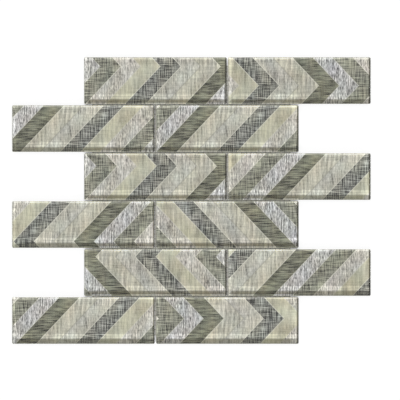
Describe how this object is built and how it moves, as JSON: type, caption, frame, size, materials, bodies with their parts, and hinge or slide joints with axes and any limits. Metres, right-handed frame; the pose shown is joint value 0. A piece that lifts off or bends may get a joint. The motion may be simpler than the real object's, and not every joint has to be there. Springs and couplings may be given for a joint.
{
  "type": "glass subway tile sheet",
  "caption": "Stepped sheet of back-printed glass subway tiles in a half-bond on a fibreglass mesh, with chevron stripes in greys and creams, for bonding to a wall.",
  "frame": {"origin": "middle of the sheet, on the plane of the mesh's underside", "axes": "+X along the courses, +Y up the sheet, +Z out of the glass face"},
  "size_m": [0.3734, 0.2986, 0.0084],
  "materials": {
    "printed_glass": "polished",
    "mesh": "woven glass yarn"
  },
  "bodies": {
    "root": {"tile_row1_left": "printed_glass", "tile_row1_right": "printed_glass", "tile_row2_left": "printed_glass", "tile_row2_right": "printed_glass", "tile_row3_left": "printed_glass", "tile_row3_right": "printed_glass", "tile_row4_left": "printed_glass", "tile_row4_right": "printed_glass", "tile_row5_left": "printed_glass", "tile_row5_right": "printed_glass", "tile_row6_left": "printed_glass", "tile_row6_right": "printed_glass", "mesh_weft": "mesh", "mesh_warp": "mesh"}
  },
  "joints": []
}
